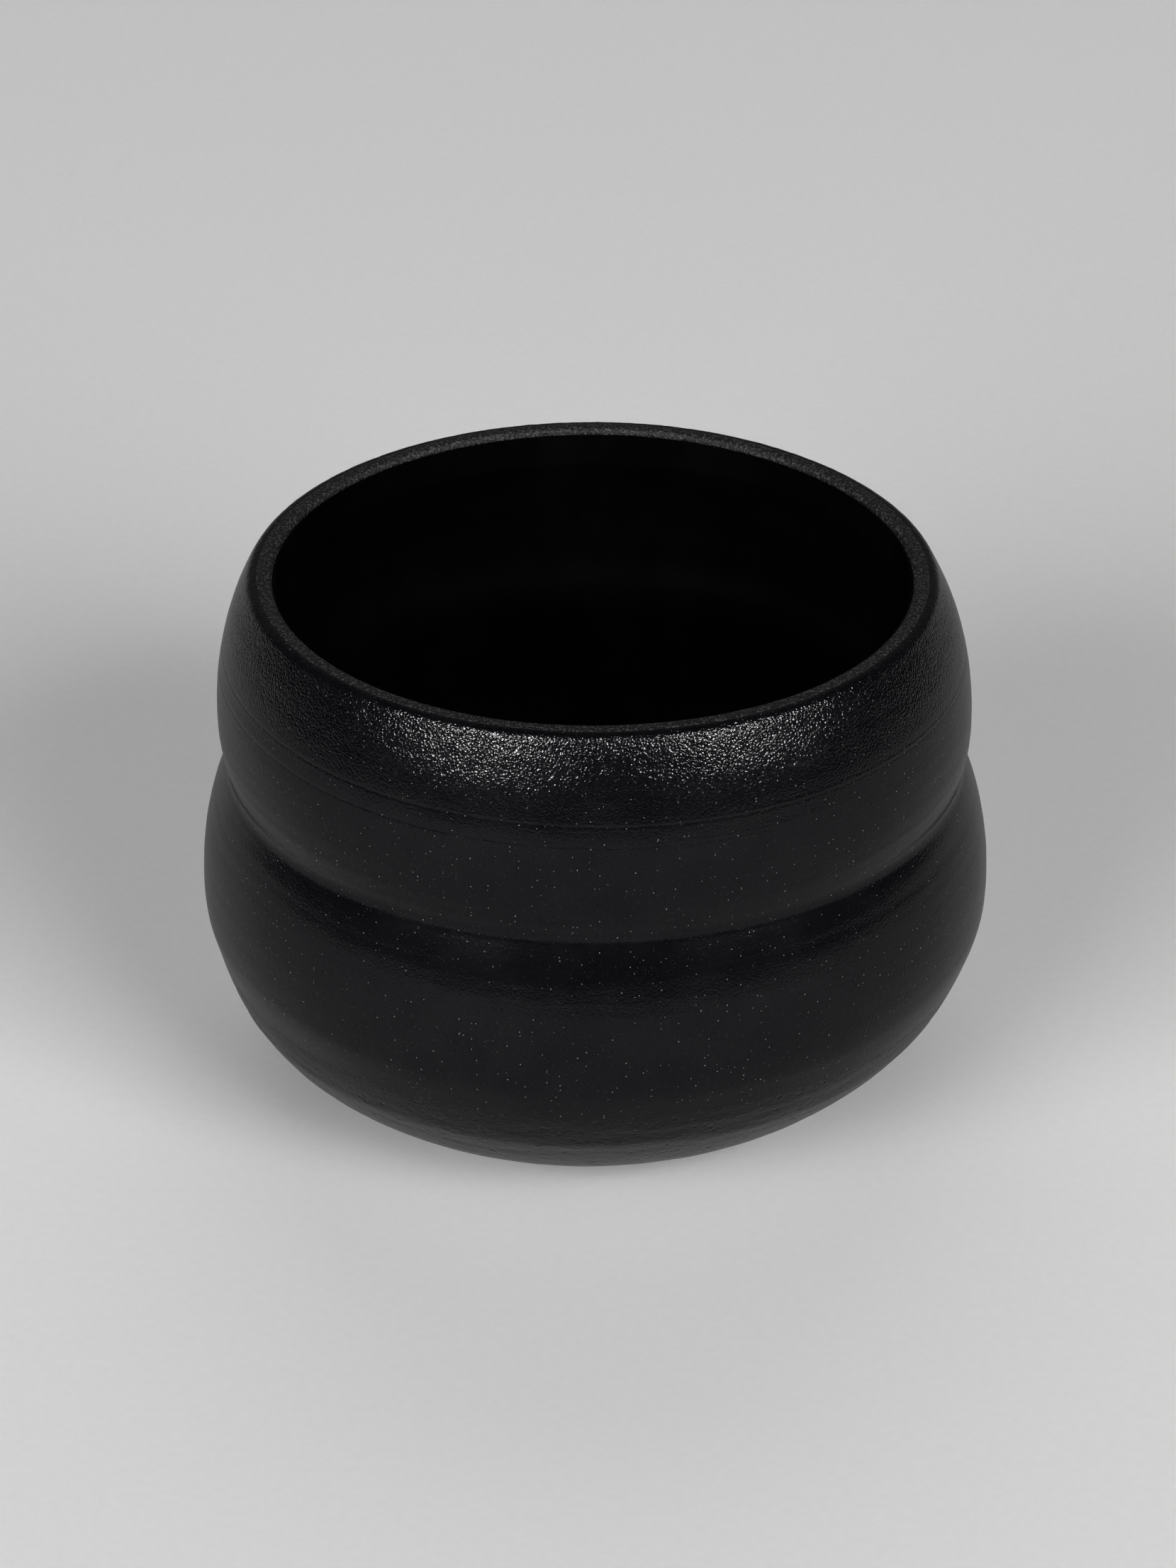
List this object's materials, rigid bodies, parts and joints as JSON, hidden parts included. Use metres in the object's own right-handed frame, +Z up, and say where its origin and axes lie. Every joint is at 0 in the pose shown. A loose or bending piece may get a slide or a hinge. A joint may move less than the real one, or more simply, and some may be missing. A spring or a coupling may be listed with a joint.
{
  "type": "candle jar",
  "caption": "Empty round stoneware candle jar: bulging shoulder, pinched waist, full belly, flattened lip and low foot ring, glazed outside and inside.",
  "frame": {"origin": "on the pot's axis, at the level of the foot ring's resting face", "axes": "+Z up along the pot's axis, through the mouth; X and Y lie in the plane it stands on and are interchangeable"},
  "size_m": [0.096, 0.096, 0.066],
  "materials": {
    "bare_clay": "matte, sandy, fired dark stoneware clay",
    "outer_glaze": "satin-matte black glaze with a fine orange-peel grain",
    "liner_glaze": "satin black liner glaze"
  },
  "bodies": {
    "root": {"stoneware_body": "bare_clay", "outer_glaze": "outer_glaze", "liner_glaze": "liner_glaze"}
  },
  "joints": []
}
